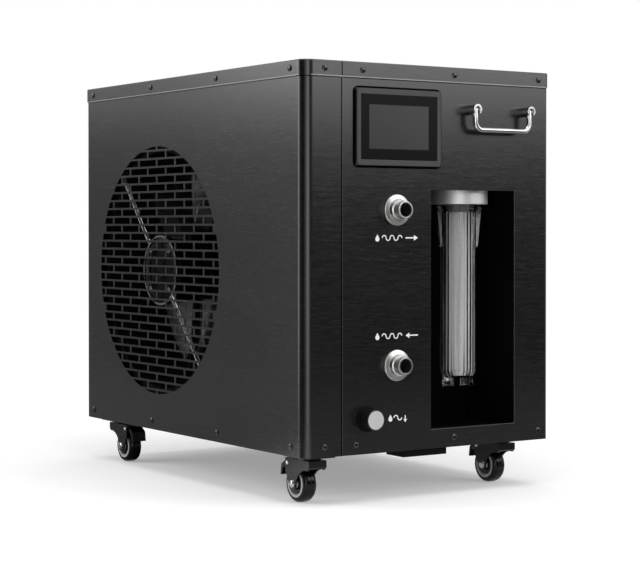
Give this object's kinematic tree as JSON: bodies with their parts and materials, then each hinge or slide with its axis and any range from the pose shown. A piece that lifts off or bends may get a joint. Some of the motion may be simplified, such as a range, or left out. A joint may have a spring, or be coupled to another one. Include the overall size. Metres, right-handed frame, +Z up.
{
  "type": "ice bath chiller",
  "caption": "Water chiller for an ice bath: black sheet steel cabinet on swivel casters with a round fan grille, touch screen, hose stubs and a clear filter bowl.",
  "frame": {"origin": "floor level under the middle of the overall box", "axes": "+X right seen from the front, +Y to the back, +Z up; the touch screen faces -Y"},
  "size_m": [0.4204, 0.654, 0.585],
  "materials": {
    "black_sheet": "brushed black sheet",
    "black_liner": "matt black",
    "brushed_alloy": "brushed",
    "clear_plastic": "clear moulded plastic",
    "white_filter": "matt pleated",
    "black_plastic": "satin",
    "screen_glass": "dark gloss",
    "stainless": "satin turned",
    "chrome": "polished",
    "black_steel": "black enamel",
    "steel_rod": "drawn",
    "coil_fins": "mill",
    "foam": "closed-cell foam",
    "rubber_black": "matt",
    "copper": "drawn copper",
    "caster_black": "powder coat",
    "wheel_grey": "satin",
    "wheel_tyre": "satin"
  },
  "bodies": {
    "cabinet": {"base_pan": "black_sheet", "casing_screws": "black_steel", "circulation_pump": "black_plastic", "compressor": "black_steel", "compressor_grommets": "rubber_black", "condenser_coil": "coil_fins", "control_box": "black_liner", "display_bezel": "black_plastic", "display_glass": "screen_glass", "drain_collar": "black_plastic", "drain_sump": "black_liner", "fan_bracket": "steel_rod", "fan_motor": "black_steel", "fan_shroud": "black_plastic", "filter_head": "brushed_alloy", "filter_recess": "black_liner", "fitting_lock_nuts": "stainless", "front_left_caster_plate": "caster_black", "front_panel": "black_sheet", "front_right_caster_plate": "caster_black", "handle_bosses": "chrome", "handle_pins": "chrome", "heat_exchanger": "foam", "inlet_fitting": "stainless", "left_side_panel": "black_sheet", "outlet_fitting": "stainless", "power_inlet": "black_plastic", "rear_left_caster_plate": "caster_black", "rear_panel": "black_sheet", "rear_right_caster_plate": "caster_black", "refrigerant_pipes": "copper", "right_side_panel": "black_sheet", "top_cover": "black_sheet", "water_hoses": "rubber_black"},
    "handle": {"handle_bail": "chrome"},
    "drain_valve": {"drain_knob": "black_plastic", "drain_knob_face": "brushed_alloy"},
    "fan": {"fan_rotor": "black_plastic"},
    "cartridge": {"filter_cartridge": "white_filter"},
    "bowl": {"filter_bowl": "clear_plastic"},
    "front_left_fork": {"front_left_caster_fork": "caster_black", "front_left_caster_axle": "chrome"},
    "front_left_wheel": {"front_left_caster_hub": "wheel_grey", "front_left_caster_tyre": "wheel_tyre"},
    "front_left_pedal": {"front_left_caster_pedal": "caster_black"},
    "front_right_fork": {"front_right_caster_fork": "caster_black", "front_right_caster_axle": "chrome"},
    "front_right_wheel": {"front_right_caster_hub": "wheel_grey", "front_right_caster_tyre": "wheel_tyre"},
    "front_right_pedal": {"front_right_caster_pedal": "caster_black"},
    "rear_left_fork": {"rear_left_caster_fork": "caster_black", "rear_left_caster_axle": "chrome"},
    "rear_left_wheel": {"rear_left_caster_hub": "wheel_grey", "rear_left_caster_tyre": "wheel_tyre"},
    "rear_left_pedal": {"rear_left_caster_pedal": "caster_black"},
    "rear_right_fork": {"rear_right_caster_fork": "caster_black", "rear_right_caster_axle": "chrome"},
    "rear_right_wheel": {"rear_right_caster_hub": "wheel_grey", "rear_right_caster_tyre": "wheel_tyre"},
    "rear_right_pedal": {"rear_right_caster_pedal": "caster_black"}
  },
  "joints": [
    {"name": "handle_swing", "type": "hinge", "parent": "cabinet", "child": "handle", "pos_m": [0.1125, -0.32, 0.528], "axis": [-1, 0, 0], "range_deg": [0, 90]},
    {"name": "drain_turn", "type": "hinge", "parent": "cabinet", "child": "drain_valve", "pos_m": [-0.106, -0.306, 0.1115], "axis": [0, -1, 0], "range_deg": [0, 90]},
    {"name": "fan_spin", "type": "hinge", "parent": "cabinet", "child": "fan", "pos_m": [-0.14, 0.0953, 0.3025], "axis": [1, 0, 0], "continuous": true},
    {"name": "bowl_drop", "type": "slide", "parent": "cabinet", "child": "cartridge", "axis": [0, 0, -1], "range_m": [0, 0.012]},
    {"name": "bowl_turn", "type": "hinge", "parent": "cartridge", "child": "bowl", "pos_m": [0.087, -0.2522, 0.265], "axis": [0, 0, -1], "range_deg": [0, 1080]},
    {"name": "front_left_swivel", "type": "hinge", "parent": "cabinet", "child": "front_left_fork", "pos_m": [-0.174, -0.2692, 0.058], "axis": [0, 0, 1], "continuous": true},
    {"name": "front_left_roll", "type": "hinge", "parent": "front_left_fork", "child": "front_left_wheel", "pos_m": [-0.174, -0.2492, 0.025], "axis": [1, 0, 0], "continuous": true},
    {"name": "front_left_brake", "type": "hinge", "parent": "front_left_fork", "child": "front_left_pedal", "pos_m": [-0.174, -0.2362, 0.0522], "axis": [-1, 0, 0], "range_deg": [0, 12]},
    {"name": "front_right_swivel", "type": "hinge", "parent": "cabinet", "child": "front_right_fork", "pos_m": [0.157, -0.2572, 0.058], "axis": [0, 0, 1], "continuous": true},
    {"name": "front_right_roll", "type": "hinge", "parent": "front_right_fork", "child": "front_right_wheel", "pos_m": [0.157, -0.2372, 0.025], "axis": [1, 0, 0], "continuous": true},
    {"name": "front_right_brake", "type": "hinge", "parent": "front_right_fork", "child": "front_right_pedal", "pos_m": [0.157, -0.2242, 0.0522], "axis": [-1, 0, 0], "range_deg": [0, 12]},
    {"name": "rear_left_swivel", "type": "hinge", "parent": "cabinet", "child": "rear_left_fork", "pos_m": [-0.174, 0.2678, 0.058], "axis": [0, 0, 1], "continuous": true},
    {"name": "rear_left_roll", "type": "hinge", "parent": "rear_left_fork", "child": "rear_left_wheel", "pos_m": [-0.174, 0.2478, 0.025], "axis": [1, 0, 0], "continuous": true},
    {"name": "rear_left_brake", "type": "hinge", "parent": "rear_left_fork", "child": "rear_left_pedal", "pos_m": [-0.174, 0.2348, 0.0522], "axis": [1, 0, 0], "range_deg": [0, 12]},
    {"name": "rear_right_swivel", "type": "hinge", "parent": "cabinet", "child": "rear_right_fork", "pos_m": [0.157, 0.2678, 0.058], "axis": [0, 0, 1], "continuous": true},
    {"name": "rear_right_roll", "type": "hinge", "parent": "rear_right_fork", "child": "rear_right_wheel", "pos_m": [0.157, 0.2478, 0.025], "axis": [1, 0, 0], "continuous": true},
    {"name": "rear_right_brake", "type": "hinge", "parent": "rear_right_fork", "child": "rear_right_pedal", "pos_m": [0.157, 0.2348, 0.0522], "axis": [1, 0, 0], "range_deg": [0, 12]}
  ],
  "couplings": [
    {"joint": "bowl_drop", "follows": "bowl_turn", "m_per_rad": 0.00063661}
  ]
}
